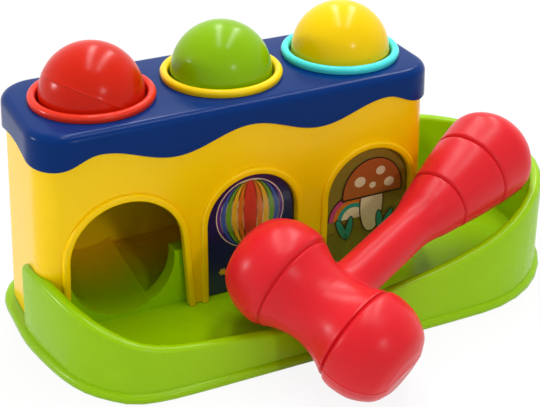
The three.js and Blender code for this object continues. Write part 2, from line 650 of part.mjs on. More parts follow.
// Screw: round head below, shank up, with a cross recess
function screw() {
  const h = SCREW_HEAD_H;
  let s = turned(
    [
      v2(0, 0),
      v2(SCREW_HEAD_R * 0.6, 0),
      v2(SCREW_HEAD_R, h * 0.55),
      v2(SCREW_HEAD_R, h),
      v2(SCREW_R, h),
      v2(SCREW_R, h + SCREW_LEN - SCREW_R),
      v2(0, h + SCREW_LEN),
    ],
    10,
  );
  const arm = SCREW_HEAD_R * 0.55;
  s = s.subtract(block(-arm, -0.35, -1, arm, 0.35, h * 0.5));
  return s.subtract(block(-0.35, -arm, -1, 0.35, arm, h * 0.5));
}

// Hammer: head along X and handle along Y, blown in one piece with a vent in the handle's end
function hammer() {
  const smooth = (points, steps) => {
    const curve = new THREE.SplineCurve(points);
    return curve.getPoints(steps);
  };
  const head = (shrink) => {
    const end = HEAD_LEN / 2 - shrink;
    const cap = [
      v2(HEAD_R - shrink, HEAD_GROOVE + 7),
      v2(HEAD_R - 1.1 - shrink, end - 12),
      v2(HEAD_R - 4.1 - shrink, end - 6),
      v2(HEAD_R - 8.1 - shrink, end - 1.85),
      v2(HEAD_FACE_R - shrink / 2, end),
    ];
    const waist = [
      v2(HEAD_WAIST_R - shrink, 0),
      v2(HEAD_WAIST_R + 0.5 - shrink, 5),
      v2(HEAD_WAIST_R + 2.1 - shrink, 11),
      v2(HEAD_R - 1.8 - shrink, HEAD_GROOVE - 1),
    ];
    const side = [...smooth(waist, shrink ? 3 : 6)];
    if (!shrink) side.push(v2(HEAD_R - 1.5 - GROOVE, HEAD_GROOVE), v2(HEAD_R - 1.1, HEAD_GROOVE + 1));
    side.push(...smooth([v2(HEAD_R - 0.3 - shrink, HEAD_GROOVE + 3), ...cap], shrink ? 4 : 9), v2(0, end));
    const mirror = side.slice(1).reverse().map((p) => v2(p.x, -p.y));
    return turned([...mirror, ...side], shrink ? 8 : 26).rotate([0, 90, 0]);
  };
  const handle = (shrink) => {
    const end = HANDLE_LEN - shrink;
    const groove_a = HANDLE_LEN * 0.613;
    const groove_b = HANDLE_LEN * 0.794;
    const at = (t) => HANDLE_R + (HANDLE_END_R - HANDLE_R) * t - shrink;
    const lower = [
      v2(at(0), 0),
      v2(at(0), HANDLE_LEN * 0.25),
      v2(at(0), HANDLE_LEN * 0.44),
      v2(at(0.09), HANDLE_LEN * 0.495),
      v2(at(0.25), HANDLE_LEN * 0.545),
      v2(at(0.39), groove_a - 1.2),
    ];
    const middle = [v2(at(0.45), groove_a + 1.2), v2(at(0.66), groove_a + 12.9), v2(at(0.83), groove_b - 1.2)];
    const upper = [
      v2(at(0.86), groove_b + 1.2),
      v2(at(0.94), groove_b + 8.5),
      v2(at(1), end - 12.6),
      v2(at(0.92), end - 8.2),
      v2(at(0.7), end - 4),
      v2(at(0.2), end - 0.4),
    ];
    const side = [v2(0, 0), ...smooth(lower, shrink ? 6 : 12)];
    if (!shrink) side.push(v2(at(0.42) - GROOVE, groove_a));
    side.push(...smooth(middle, shrink ? 2 : 4));
    if (!shrink) side.push(v2(at(0.845) - GROOVE, groove_b));
    side.push(...smooth(upper, shrink ? 4 : 10), v2(0, end));
    return turned(side, shrink ? 8 : 24).rotate([-90, 0, 0]);
  };
  const vent = turned([v2(0, HANDLE_LEN - 10), v2(VENT_R, HANDLE_LEN - 10), v2(VENT_R, HANDLE_LEN + 5), v2(0, HANDLE_LEN + 5)], 10);
  const full = head(0).add(handle(0));
  return full.subtract(head(HAMMER_WALL).add(handle(HAMMER_WALL))).subtract(vent.rotate([-90, 0, 0]));
}

// Scene graph
const toy = new THREE.Group();
const paint = (color, roughness, metalness = 0, opacity = 1) =>
  new THREE.MeshStandardMaterial({ color, roughness, metalness, opacity, transparent: opacity < 1 });
function place(name, shape, material, x = 0, y = 0, z = 0, parent = toy) {
  const mesh = new THREE.Mesh(geometryOf(shape), material);
  mesh.name = name;
  mesh.position.set(x, y, z);
  parent.add(mesh);
  return mesh;
}
const GREEN = 0x86c010;
const YELLOW = 0xfac204;
place("tray_base", tray(), paint(GREEN, 0.3));
place("house_shell", house(), paint(YELLOW, 0.28));
place("lid", lid(), paint(0x12307f, 0.32));
place("ball_run", ballRun(), paint(GREEN, 0.3));

const ring_names = ["left", "middle", "right"];
const ring_colors = [0xe0341f, 0xf5cc06, 0x32c6ce];
const ball_colors = [0xdc2a16, 0x80c004, 0xf4d806];
ring_x.forEach((x, i) => {
  place("ring_" + ring_names[i], ring(), paint(ring_colors[i], 0.3), x);
  place("grip_" + ring_names[i], grip(), paint(0x33363b, 0.7), x);
  place("ball_" + ring_names[i], ball(), paint(ball_colors[i], 0.33), x, 0, BALL_Z);
});

const pane_outline = (x) => arch(x, window_half + PANE_LAP, HOUSE_BASE + SEAT, arch_top + PANE_LAP, 0, 18);
const label_outline = (x) => arch(x, window_half - LABEL_INSET, HOUSE_BASE + LABEL_INSET, arch_top - LABEL_INSET, 0, 18);
const room = houseTube(-HOUSE_WALL - SEAT / 2, 0, HOUSE_TOP, HOUSE_CORNER_R);
["middle", "right"].forEach((side, i) => {
  const x = ring_x[i + 1];
  place("pane_" + side, slab(pane_outline(x), PANE_Y, PANE_Y + PANE_T).intersect(room), paint(0xdfe8ea, 0.08, 0, 0.3));
  place("label_" + side, slab(label_outline(x), PANE_Y - 0.05 - LABEL_T, PANE_Y - 0.05), paint(i ? 0xb4622c : 0x1d2350, 0.3));
});

const steel = () => paint(0xb9bcc0, 0.35, 1);
base_posts.forEach(([x, y], i) => {
  place("base_screw_" + (i + 1), screw(), steel(), x, y, FLOOR_Z - FLOOR_T - SEAT - SCREW_HEAD_H);
});
lid_posts.forEach(([x, y], i) => {
  place("lid_screw_" + (i + 1), screw(), steel(), x, y, gusset_top - GUSSET_T - SEAT - SCREW_HEAD_H);
});

// The hammer lies over the front rim, with one end on the ground and its handle on the right rim
const rest = new THREE.Group();
const head_dir = HEAD_DIR.clone().normalize();
const handle_dir = HANDLE_DIR.clone().addScaledVector(head_dir, -HANDLE_DIR.dot(head_dir)).normalize();
const up_dir = head_dir.clone().cross(handle_dir);
rest.quaternion.setFromRotationMatrix(new THREE.Matrix4().makeBasis(head_dir, handle_dir, up_dir));
rest.position.set(frontAt(HAMMER_ALONG), TRAY_FRONT - HAMMER_OUT, HAMMER_Z);
toy.add(rest);
place("hammer", hammer(), paint(0xe02a2a, 0.36), 0, 0, 0, rest);

// The origin is the middle of the bottom of the whole set's box
const part = new THREE.Group();
part.add(toy);
part.updateMatrixWorld(true);
const box = new THREE.Box3().setFromObject(toy, true);
toy.position.set(-(box.min.x + box.max.x) / 2, -(box.min.y + box.max.y) / 2, -box.min.z);

export default part;
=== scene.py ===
# %% [markdown]
# A pounding toy in moulded plastic. A yellow house with a dark blue lid stands in a green tray, three balls
# sit in rings on the lid, and a red hammer lies over the tray's rim. The sizes and places come from the
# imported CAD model, which is loaded first and stays as it is. What shows is modelled again here with rounder
# edges and real finishes.

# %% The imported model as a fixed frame
import math

import bmesh
import bpy
from mathutils import Matrix, Vector
from mathutils.bvhtree import BVHTree


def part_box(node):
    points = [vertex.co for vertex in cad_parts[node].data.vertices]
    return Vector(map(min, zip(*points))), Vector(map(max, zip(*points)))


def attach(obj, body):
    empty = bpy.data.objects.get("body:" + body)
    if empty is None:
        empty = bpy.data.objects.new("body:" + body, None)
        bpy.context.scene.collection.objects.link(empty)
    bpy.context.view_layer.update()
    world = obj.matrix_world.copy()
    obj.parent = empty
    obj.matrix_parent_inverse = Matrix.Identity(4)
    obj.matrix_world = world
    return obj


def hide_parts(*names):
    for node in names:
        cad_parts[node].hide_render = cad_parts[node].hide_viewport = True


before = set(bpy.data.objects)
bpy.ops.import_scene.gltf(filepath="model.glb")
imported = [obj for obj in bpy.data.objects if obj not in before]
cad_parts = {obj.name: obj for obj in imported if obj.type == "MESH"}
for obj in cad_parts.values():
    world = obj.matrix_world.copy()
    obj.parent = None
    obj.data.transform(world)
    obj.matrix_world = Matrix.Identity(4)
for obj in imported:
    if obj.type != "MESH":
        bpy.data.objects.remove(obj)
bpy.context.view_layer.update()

scene = bpy.context.scene
scene.view_settings.view_transform = "Standard"

# %% [markdown]
# The toy's own drawing is in millimetres, from the middle ring's axis. Blender works in metres from the
# middle of the whole set. One matrix turns the first into the second, so every piece can be drawn in the
# numbers of the toy.

# %% Millimetres from the middle ring's axis
MM = 0.001
ring_low, ring_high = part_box("ring_middle")
RING_AXIS = Vector(((ring_low.x + ring_high.x) / 2, (ring_low.y + ring_high.y) / 2, 0))
TO_PART = Matrix.Translation(RING_AXIS) @ Matrix.Scale(MM, 4)
TO_TOY = TO_PART.inverted()
SIDES = ("left", "middle", "right")


def extent(node):
    """Lowest and highest corner of a CAD node in the toy's own millimetres."""
    return [TO_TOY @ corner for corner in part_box(node)]


RING_X = {side: sum(corner.x for corner in extent("ring_" + side)) / 2 for side in SIDES}
print("ring centres in mm", {side: round(x, 2) for side, x in RING_X.items()})

# %% [markdown]
# The camera stands where the photograph was taken from, worked out from the rings and the edges of the
# house. Its lens follows from the focal length in pixels of a frame 540 wide. It comes first, so that every
# later step can be looked at in the same view.

# %% Camera
FRAME_WIDTH = 540
FOCAL_PX = 1195
CAMERA_AT = Vector((-200.67, -457.06, 319.8))
CAMERA_TURN = math.radians(26.30)
CAMERA_DOWN = math.radians(29.35)
CAMERA_ROLL = math.radians(0.62)
camera = bpy.data.cameras.new("camera")
camera.sensor_width = 36
camera.lens = camera.sensor_width * FOCAL_PX / FRAME_WIDTH
camera_object = bpy.data.objects.new("camera", camera)
level = Matrix.Rotation(-CAMERA_TURN, 4, "Z") @ Matrix.Rotation(math.pi / 2 - CAMERA_DOWN, 4, "X")
roll = Matrix.Rotation(CAMERA_ROLL, 4, "Z")
camera_object.matrix_world = Matrix.Translation(TO_PART @ CAMERA_AT) @ level @ roll
scene.collection.objects.link(camera_object)
scene.camera = camera_object
print("lens in mm", round(camera.lens, 2))

# %% [markdown]
# Colours are written as the sRGB codes that a colour picker shows, and shaders want linear light, so one
# function turns one into the other. A second small function adds a node, sets its values and links its
# inputs. Everything else about a material is then plain to read.

# %% Colours and nodes
HOUSE_YELLOW = "FACE00"


def linear(code):
    """Linear red, green, blue and alpha of an sRGB hex code."""
    parts = [int(code[i : i + 2], 16) / 255 for i in (0, 2, 4)]
    return tuple(c / 12.92 if c <= 0.04045 else ((c + 0.055) / 1.055) ** 2.4 for c in parts) + (1.0,)


def shaded(code, factor):
    """A colour made lighter or darker, as pigment is where it lies thicker or thinner."""
    return tuple(min(1.0, c * factor) for c in linear(code)[:3]) + (1.0,)


def add(tree, kind, settings=None, values=None, links=None):
    """A node with its settings, its input values and its links."""
    node = tree.nodes.new(kind)
    for name, value in (settings or {}).items():
        setattr(node, name, value)
    for name, value in (values or {}).items():
        node.inputs[name].default_value = value
    for name, socket in (links or {}).items():
        tree.links.new(socket, node.inputs[name])
    return node


print("house yellow in linear light", [round(c, 3) for c in linear(HOUSE_YELLOW)])

# %% [markdown]
# Injection-moulded ABS and polypropylene leave a polished steel mould, so they are glossy, with a faint
# ripple that bends the highlights and a pigment that is never quite even. Blow-moulded polyethylene is
# blown against a grit-blasted mould and comes out satin, with a fine grain. Both are the same recipe with
# other numbers: a slow cloud in the colour, a patchy roughness and a bump of two sizes.

# %% Moulded plastic
CLOUD_MM = 26
CLOUD_SHARE = 0.035
PATCH_MM = 9
DULLER, SHINIER = 0.04, 0.03
RIPPLE_MM = 5
RIPPLE_DEPTH_MM = 0.02
RIPPLE_STRENGTH = 0.25
GRAIN_STRENGTH = 0.5
ABS = {"ior": 1.53, "grain_mm": 0.8, "grain_depth_mm": 0.006}
TRAY_PP = {"ior": 1.49, "grain_mm": 0.8, "grain_depth_mm": 0.008}
RING_PP = {"ior": 1.49, "grain_mm": 0.7, "grain_depth_mm": 0.006}
BALL_PE = {"ior": 1.51, "grain_mm": 0.9, "grain_depth_mm": 0.012}
HAMMER_PE = {"ior": 1.51, "grain_mm": 1.1, "grain_depth_mm": 0.018}
GRIP_TPE = {"ior": 1.48, "grain_mm": 0.8, "grain_depth_mm": 0.03}


def noise(tree, place, size_mm, detail):
    """A cloudy pattern whose patches have about the given size."""
    values = {"Scale": 1 / (size_mm * MM), "Detail": detail}
    return add(tree, "ShaderNodeTexNoise", None, values, {"Vector": place}).outputs["Fac"]


def moulded(name, code, roughness, sheen, ior, grain_mm, grain_depth_mm):
    """A moulded plastic with uneven pigment, patchy gloss, a slow ripple and a fine grain."""
    material = bpy.data.materials.new(name)
    material.use_nodes = True
    tree = material.node_tree
    shader = tree.nodes["Principled BSDF"]
    shader.inputs["IOR"].default_value = ior
    shader.inputs["Specular IOR Level"].default_value = sheen
    place = add(tree, "ShaderNodeTexCoord").outputs["Object"]
    tones = {6: shaded(code, 1 - CLOUD_SHARE), 7: shaded(code, 1 + CLOUD_SHARE)}
    pigment = {0: noise(tree, place, CLOUD_MM, 3)}
    tone = add(tree, "ShaderNodeMix", {"data_type": "RGBA"}, tones, pigment)
    tree.links.new(tone.outputs[2], shader.inputs["Base Color"])
    spread = {"From Min": 0.3, "From Max": 0.7, "To Min": roughness - SHINIER, "To Max": roughness + DULLER}
    gloss = add(tree, "ShaderNodeMapRange", None, spread, {"Value": noise(tree, place, PATCH_MM, 4)})
    tree.links.new(gloss.outputs["Result"], shader.inputs["Roughness"])
    wide = {"Strength": RIPPLE_STRENGTH, "Distance": RIPPLE_DEPTH_MM * MM}
    swell = add(tree, "ShaderNodeBump", None, wide, {"Height": noise(tree, place, RIPPLE_MM, 1)})
    fine = {"Strength": GRAIN_STRENGTH, "Distance": grain_depth_mm * MM}
    grain = {"Height": noise(tree, place, grain_mm, 2), "Normal": swell.outputs["Normal"]}
    bump = add(tree, "ShaderNodeBump", None, fine, grain)
    tree.links.new(bump.outputs["Normal"], shader.inputs["Normal"])
    return material


# The grain of a polished mould is far below a millimetre and is drawn coarser here so that it shows at all.
house_abs = moulded("abs_yellow_gloss", HOUSE_YELLOW, 0.22, 0.14, **ABS)
lid_abs = moulded("abs_navy_gloss", "002C6C", 0.2, 0.07, **ABS)
tray_pp = moulded("polypropylene_lime_gloss", "92C200", 0.25, 0.18, **TRAY_PP)
ring_pp = {
    "left": moulded("polypropylene_red_gloss", "E03018", 0.22, 0.2, **RING_PP),
    "middle": moulded("polypropylene_yellow_gloss", "F5CE02", 0.22, 0.2, **RING_PP),
    "right": moulded("polypropylene_turquoise_gloss", "4CE0DE", 0.22, 0.2, **RING_PP),
}
ball_pe = {
    "left": moulded("polyethylene_red_satin", "C81E04", 0.22, 0.14, **BALL_PE),
    "middle": moulded("polyethylene_green_satin", "80AE00", 0.2, 0.13, **BALL_PE),
    "right": moulded("polyethylene_yellow_satin", "ECC400", 0.2, 0.13, **BALL_PE),
}
hammer_pe = moulded("polyethylene_hammer_satin", "D41A24", 0.32, 0.2, **HAMMER_PE)
print("moulded finishes", sum(m.name.startswith(("abs", "poly")) for m in bpy.data.materials))

# %% [markdown]
# The window panes are clear polystyrene, drawn as a thin see-through skin so that daylight still reaches
# the room behind it. One film on them carries a painted olive tint that stands in for the lit yellow room
# seen through it, painted light rather than a colour of the film. The grips are a dull rubbery elastomer,
# made by the same recipe. The screws are zinc-plated steel with fine turning marks, and the prints are inks
# whose dots of colour lie on a film.

# %% Clear plastic, rubber, steel and ink
INK_DOT_MM = 0.9
HAZE_MM = 12
MARK_MM = 0.6
pane_ps = bpy.data.materials.new("polystyrene_clear")
pane_ps.use_nodes = True
clear = pane_ps.node_tree.nodes["Principled BSDF"]
clear.inputs["Base Color"].default_value = linear("8A948C")
clear.inputs["IOR"].default_value = 1.59
clear.inputs["Alpha"].default_value = 0.07
place = add(pane_ps.node_tree, "ShaderNodeTexCoord").outputs["Object"]
haze = {"Value": noise(pane_ps.node_tree, place, HAZE_MM, 2)}
smear = add(pane_ps.node_tree, "ShaderNodeMapRange", None, {"To Min": 0.04, "To Max": 0.14}, haze)
pane_ps.node_tree.links.new(smear.outputs["Result"], clear.inputs["Roughness"])

# Painted light: this film's olive tint stands in for the lit yellow room behind the window, seen through it.
film_painted_interior_light = pane_ps.copy()
film_painted_interior_light.name = "film_olive_painted_interior_light"
painted_interior_shader = film_painted_interior_light.node_tree.nodes["Principled BSDF"]
painted_interior_shader.inputs["Base Color"].default_value = linear("B4A03A")
painted_interior_shader.inputs["Alpha"].default_value = 0.42

grip_tpe = moulded("elastomer_charcoal_matt", "33363B", 0.62, 0.2, **GRIP_TPE)

screw_steel = bpy.data.materials.new("steel_zinc_plated")
screw_steel.use_nodes = True
zinc = screw_steel.node_tree.nodes["Principled BSDF"]
zinc.inputs["Metallic"].default_value = 1.0
zinc.inputs["Base Color"].default_value = linear("B9BCC0")
place = add(screw_steel.node_tree, "ShaderNodeTexCoord").outputs["Object"]
marks = {"Value": noise(screw_steel.node_tree, place, MARK_MM, 2)}
dull = add(screw_steel.node_tree, "ShaderNodeMapRange", None, {"To Min": 0.22, "To Max": 0.42}, marks)
screw_steel.node_tree.links.new(dull.outputs["Result"], zinc.inputs["Roughness"])


def ink(name, code):
    """A printed ink whose dots make the colour a little uneven."""
    material = bpy.data.materials.new("ink_" + name)
    material.use_nodes = True
    tree = material.node_tree
    shader = tree.nodes["Principled BSDF"]
    shader.inputs["Roughness"].default_value = 0.22
    shader.inputs["Coat Weight"].default_value = 0.3
    place = add(tree, "ShaderNodeTexCoord").outputs["Object"]
    dots = add(tree, "ShaderNodeTexVoronoi", None, {"Scale": 1 / (INK_DOT_MM * MM)}, {"Vector": place})
    tones = {6: shaded(code, 1.06), 7: shaded(code, 0.9)}
    tone = add(tree, "ShaderNodeMix", {"data_type": "RGBA"}, tones, {0: dots.outputs["Distance"]})
    tree.links.new(tone.outputs[2], shader.inputs["Base Color"])
    return material


print("finishes in all", len(bpy.data.materials))

# %% [markdown]
# Every new piece ends the same way: its mesh is scaled into the part's frame, shaded smooth except across
# real corners, given its finish, and tied to the body that carries it. Where it stands for a CAD solid,
# that solid is hidden. Bodies are cut and joined with the exact boolean, which is applied at once so that
# no helper is left over.

# %% Finishing and carving
SHARP_DEG = 38
SLIVER = 0.003
SAME_POINT = 0.001


def piece(bm, name, body, finishes, nodes=(), sharp=SHARP_DEG):
    """Places a drawn mesh in the part's frame and ties it to its body."""
    bm.transform(TO_PART)
    mesh = bpy.data.meshes.new(name)
    bm.to_mesh(mesh)
    bm.free()
    mesh.shade_smooth()
    mesh.set_sharp_from_angle(angle=math.radians(sharp))
    for finish in finishes:
        mesh.materials.append(finish)
    made = bpy.data.objects.new(name, mesh)
    scene.collection.objects.link(made)
    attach(made, body)
    if nodes:
        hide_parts(*nodes)
    size = [round(d * 1000, 1) for d in made.dimensions]
    print(name, len(mesh.polygons), "faces, size in mm", size)
    return made


def loose(bm, name):
    """A helper object for one boolean step."""
    mesh = bpy.data.meshes.new(name)
    bm.to_mesh(mesh)
    bm.free()
    made = bpy.data.objects.new(name, mesh)
    scene.collection.objects.link(made)
    return made


def carve(bm, steps):
    """Joins tools to a body or takes them away, one after another, and returns the new body."""
    body = loose(bm, "carve_body")
    tools = []
    for tool, operation in steps:
        tools.append(loose(tool, "carve_tool"))
        modifier = body.modifiers.new("carve", "BOOLEAN")
        modifier.operation = operation
        modifier.solver = "EXACT"
        modifier.object = tools[-1]
    graph = bpy.context.evaluated_depsgraph_get()
    carved = bmesh.new()
    carved.from_mesh(body.evaluated_get(graph).to_mesh())
    bmesh.ops.remove_doubles(carved, verts=carved.verts[:], dist=SLIVER)
    bmesh.ops.dissolve_degenerate(carved, dist=SLIVER, edges=carved.edges[:])
    open_edges = [e for e in carved.edges if len(e.link_faces) == 1]
    bmesh.ops.holes_fill(carved, edges=open_edges, sides=0)
    print("carved with", len(tools), "tools, edges closed", len(open_edges))
    for helper in (body, *tools):
        mesh = helper.data
        bpy.data.objects.remove(helper)
        bpy.data.meshes.remove(mesh)
    return carved


def vertices(geom):
    """The vertices in what an operator returns."""
    return [g for g in geom if isinstance(g, bmesh.types.BMVert)]


def edges(geom):
    """The edges in what an operator returns."""
    return [g for g in geom if isinstance(g, bmesh.types.BMEdge)]


def box(low, high):
    """A block between two corners."""
    bm = bmesh.new()
    made = bmesh.ops.create_cube(bm, size=1)["verts"]
    low, high = Vector(low), Vector(high)
    bmesh.ops.scale(bm, vec=high - low, verts=made)
    bmesh.ops.translate(bm, vec=(low + high) / 2, verts=made)
    return bm


def turned(profile, axis, steps, closed=False):
    """A row of points spun once round an axis through the origin, with its poles and seam closed."""
    bm = bmesh.new()
    row = [bm.verts.new(point) for point in profile]
    for first, second in zip(row, row[1:]):
        bm.edges.new((first, second))
    if closed:
        bm.edges.new((row[-1], row[0]))
    geom = bm.verts[:] + bm.edges[:]
    whole = 2 * math.pi
    bmesh.ops.spin(bm, geom=geom, cent=(0, 0, 0), axis=axis, angle=whole, steps=steps, use_merge=True)
    bmesh.ops.remove_doubles(bm, verts=bm.verts[:], dist=SAME_POINT)
    bmesh.ops.recalc_face_normals(bm, faces=bm.faces[:])
    return bm


def rounded_off(bm, geom, radius, cuts, affect):
    """Bevels corners or edges round."""
    bmesh.ops.bevel(
        bm,
        geom=geom,
        offset=radius,
        offset_type="OFFSET",
        segments=cuts,
        profile=0.5,
        affect=affect,
        material=-1,
    )


def soft_edges(made, width, degrees):
    """Breaks the corners of a finished piece that are sharper than some angle."""
    soften = made.modifiers.new("soft_edges", "BEVEL")
    soften.width = width * MM
    soften.segments = 2
    soften.limit_method = "ANGLE"
    soften.angle_limit = math.radians(degrees)


def flowing(points, steps):
    """A smooth line through a few points, as a draughtsman's spline draws it."""
    line = []
    padded = [points[0], *points, points[-1]]
    for a, b, c, d in zip(padded, padded[1:], padded[2:], padded[3:]):
        a, b, c, d = Vector(a), Vector(b), Vector(c), Vector(d)
        for i in range(steps):
            t = i / steps
            bend = (2 * a - 5 * b + 4 * c - d) * t**2 + (3 * b - a - 3 * c + d) * t**3
            line.append(0.5 * (2 * b + (c - a) * t + bend))
    return line + [Vector(points[-1])]


print("drawing helpers ready")

# %% [markdown]
# The house is a tube with round corners whose two ends lean out a little so that it leaves its mould. Its
# plan is a rectangle with bevelled corners, extruded upwards and given a wall. Three arches are cut through
# the front, and each gets a rounded bead, which is one section carried up a leg, spun through the half
# circle and carried down again. The outlet's arch is drawn a little wider than in the CAD model and further
# right, as the photograph shows it.

# %% House
WALL = 2.5
HOUSE_CORNER = 15
CORNER_CUTS = 14
HOUSE_LEAN = 5.4
LEAN_FOOT = 4
FLOOR_TOP = 10
ARCH_TOP = 71
OUTLET_HALF = 26
OUTLET_SHIFT = 1
WINDOW_HALF = 22.4
OUTLET_FLARE = 2.2
BEAD_WIDTH = 3.2
BEAD_RISE = 1.75
BEAD_ROUND = 1
BEAD_ROUND_STEPS = 6
BEAD_SUNK = 2
ROOT_SUNK = 0.5
ARCH_STEPS = 40
ARCH_EASE = 0.4
HOUSE_DEPTH = 64
BASE_GAP = 0.3
house_low, house_high = extent("house_shell")
HOUSE_BASE = FLOOR_TOP + BASE_GAP
BEAD_FOOT = HOUSE_BASE - BEAD_SUNK
HOUSE_TOP = house_high.z
HOUSE_BACK = house_high.y
HOUSE_FRONT = HOUSE_BACK - HOUSE_DEPTH
INNER_FRONT = HOUSE_FRONT + WALL


def lean_at(z):
    """How far each end of the house stands out at some height."""
    return HOUSE_LEAN * (HOUSE_TOP - z) / (HOUSE_TOP - LEAN_FOOT)


house_left = house_low.x + lean_at(house_low.z)
house_right = house_high.x - lean_at(HOUSE_BASE)
house_length = house_right - house_left
HOUSE_MID = Vector(((house_left + house_right) / 2, (HOUSE_FRONT + HOUSE_BACK) / 2, 0))


def rounded_plan(width, depth, radius, z):
    """A rectangle round the house's middle with bevelled corners, as one face."""
    bm = bmesh.new()
    signs = ((-1, -1), (1, -1), (1, 1), (-1, 1))
    corners = [bm.verts.new(HOUSE_MID + Vector((i * width / 2, j * depth / 2, z))) for i, j in signs]
    bm.faces.new(corners)
    rounded_off(bm, corners, radius, CORNER_CUTS, "VERTICES")
    return bm


def arch_plate(x, half, foot, top, flare, front, back):
    """A door-shaped plate: a point run up a leg, spun through the half circle and run down, thickened."""
    bm = bmesh.new()
    spring = top - half
    start = bm.verts.new((x + half + flare, front, foot))
    rise = vertices(bmesh.ops.extrude_vert_indiv(bm, verts=[start])["verts"])
    bmesh.ops.translate(bm, verts=rise, vec=(-flare, 0, spring - foot))
    centre = (x, front, spring)
    arc = bmesh.ops.spin(bm, geom=rise, cent=centre, axis=(0, -1, 0), angle=math.pi, steps=ARCH_STEPS)
    fall = vertices(bmesh.ops.extrude_vert_indiv(bm, verts=vertices(arc["geom_last"]))["verts"])
    bmesh.ops.translate(bm, verts=fall, vec=(-flare, 0, foot - spring))
    bm.edges.new((fall[0], start))
    bmesh.ops.edgeloop_fill(bm, edges=bm.edges[:])
    thick = bmesh.ops.extrude_face_region(bm, geom=bm.faces[:])["geom"]
    bmesh.ops.translate(bm, verts=vertices(thick), vec=(0, back - front, 0))
    bmesh.ops.recalc_face_normals(bm, faces=bm.faces[:])
    return bm


def arch_bead(x, half, flare):
    """A round bead carried up one leg of an arch, through its half circle and down the other leg."""
    bm = bmesh.new()
    spring = ARCH_TOP - half
    root = INNER_FRONT - ROOT_SUNK
    crown = HOUSE_FRONT - BEAD_RISE
    section = [(0, root)]
    for i in range(BEAD_ROUND_STEPS + 1):
        a = math.pi / 2 * i / BEAD_ROUND_STEPS
        section.append((BEAD_ROUND * (1 - math.cos(a)), crown + BEAD_ROUND * (1 - math.sin(a))))
    section += [(BEAD_WIDTH - out, y) for out, y in reversed(section)]
    row = [bm.verts.new((x + half + flare + out, y, BEAD_FOOT)) for out, y in section]
    foot = bm.faces.new(row)
    ring = list(foot.edges)
    rise = bmesh.ops.extrude_edge_only(bm, edges=ring)["geom"]
    bmesh.ops.translate(bm, verts=vertices(rise), vec=(-flare, 0, spring - BEAD_FOOT))
    geom = vertices(rise) + edges(rise)
    centre = (x, 0, spring)
    arc = bmesh.ops.spin(bm, geom=geom, cent=centre, axis=(0, -1, 0), angle=math.pi, steps=ARCH_STEPS)
    fall = bmesh.ops.extrude_edge_only(bm, edges=edges(arc["geom_last"]))["geom"]
    bmesh.ops.translate(bm, verts=vertices(fall), vec=(-flare, 0, BEAD_FOOT - spring))
    bmesh.ops.edgeloop_fill(bm, edges=edges(fall))
    bmesh.ops.recalc_face_normals(bm, faces=bm.faces[:])
    return bm


SILL_Z = house_low.z
SILL_ROOM = 0.6
SILL_X = house_left + WALL - HOUSE_LEAN + SILL_ROOM
SILL_Y = -9.7
FAR_X, FAR_Y = 140, 80
CUT_BEFORE, CUT_BEHIND = 9, 3
CUT_FOOT = -1
foot_lean = lean_at(SILL_Z)
tube = rounded_plan(house_length + 2 * foot_lean, HOUSE_DEPTH, HOUSE_CORNER, SILL_Z)
upper = vertices(bmesh.ops.extrude_face_region(tube, geom=tube.faces[:])["geom"])
bmesh.ops.translate(tube, verts=upper, vec=(0, 0, HOUSE_TOP - SILL_Z))
narrow = house_length / (house_length + 2 * foot_lean)
bmesh.ops.scale(tube, verts=upper, vec=(narrow, 1, 1), space=Matrix.Translation(-HOUSE_MID))
ends = [f for f in tube.faces if abs(f.normal.z) > 0.9]
bmesh.ops.delete(tube, geom=ends, context="FACES_ONLY")
bmesh.ops.recalc_face_normals(tube, faces=tube.faces[:])
bmesh.ops.solidify(tube, geom=tube.faces[:], thickness=WALL)
bmesh.ops.triangulate(tube, faces=tube.faces[:])
arches = [
    (RING_X["left"] + OUTLET_SHIFT, OUTLET_HALF, OUTLET_FLARE),
    (RING_X["middle"], WINDOW_HALF, 0),
    (RING_X["right"], WINDOW_HALF, 0),
]
steps = []
for x, half, flare in arches:
    wide, top = half + ARCH_EASE, ARCH_TOP + ARCH_EASE
    front, back = HOUSE_FRONT - CUT_BEFORE, INNER_FRONT + CUT_BEHIND
    steps.append((arch_plate(x, wide, CUT_FOOT, top, flare, front, back), "DIFFERENCE"))
    steps.append((arch_bead(x, half, flare), "UNION"))
# The foot is cut level last, so that wall and beads end in one face.
steps.append((box((SILL_X, -FAR_Y, 0), (FAR_X, FAR_Y, HOUSE_BASE)), "DIFFERENCE"))
steps.append((box((-FAR_X, -FAR_Y, 0), (FAR_X, SILL_Y, HOUSE_BASE)), "DIFFERENCE"))
piece(carve(tube, steps), "house", "toy", [house_abs], ["house_shell"])

# %% [markdown]
# The lid is a shallow tray turned over. Its plan is the house's plan and a little more, its top edge is
# rounded, and its skirt ends in a slow wave that has a crest in the middle of the front. Bevelling the top
# edge of an extruded block gives the rounding, and the wave is made by moving the skirt's lower points as
# far as their way round says.

# %% Lid
LID_SKIN = 1.6
LID_ROUND = 4
SKIRT_MEAN = 14.3
SKIRT_WAVE = 4
FRONT_WAVE = 69
CORNER_TROUGH = 1.35 * FRONT_WAVE
END_WAVE = 0.4
LID_HOLE = 26.3
LID_ROUND_CUTS = 7
LONG_EDGE = 8
SKIRT_STEP = 2.5
LEVEL = 0.01
DRILL_SIDES = 72
DRILL_DEPTH = 20
LID_BREAK = 0.45
LID_BREAK_DEG = 60
lid_low, lid_high = extent("lid")
LID_TOP = lid_high.z
lid_depth = lid_high.y - lid_low.y
lid_over = (lid_depth - HOUSE_DEPTH) / 2
lid_lean = lean_at(LID_TOP - SKIRT_MEAN - SKIRT_WAVE)
lid_width = house_length + 2 * (lid_over + lid_lean)
lid_corner = HOUSE_CORNER + lid_over


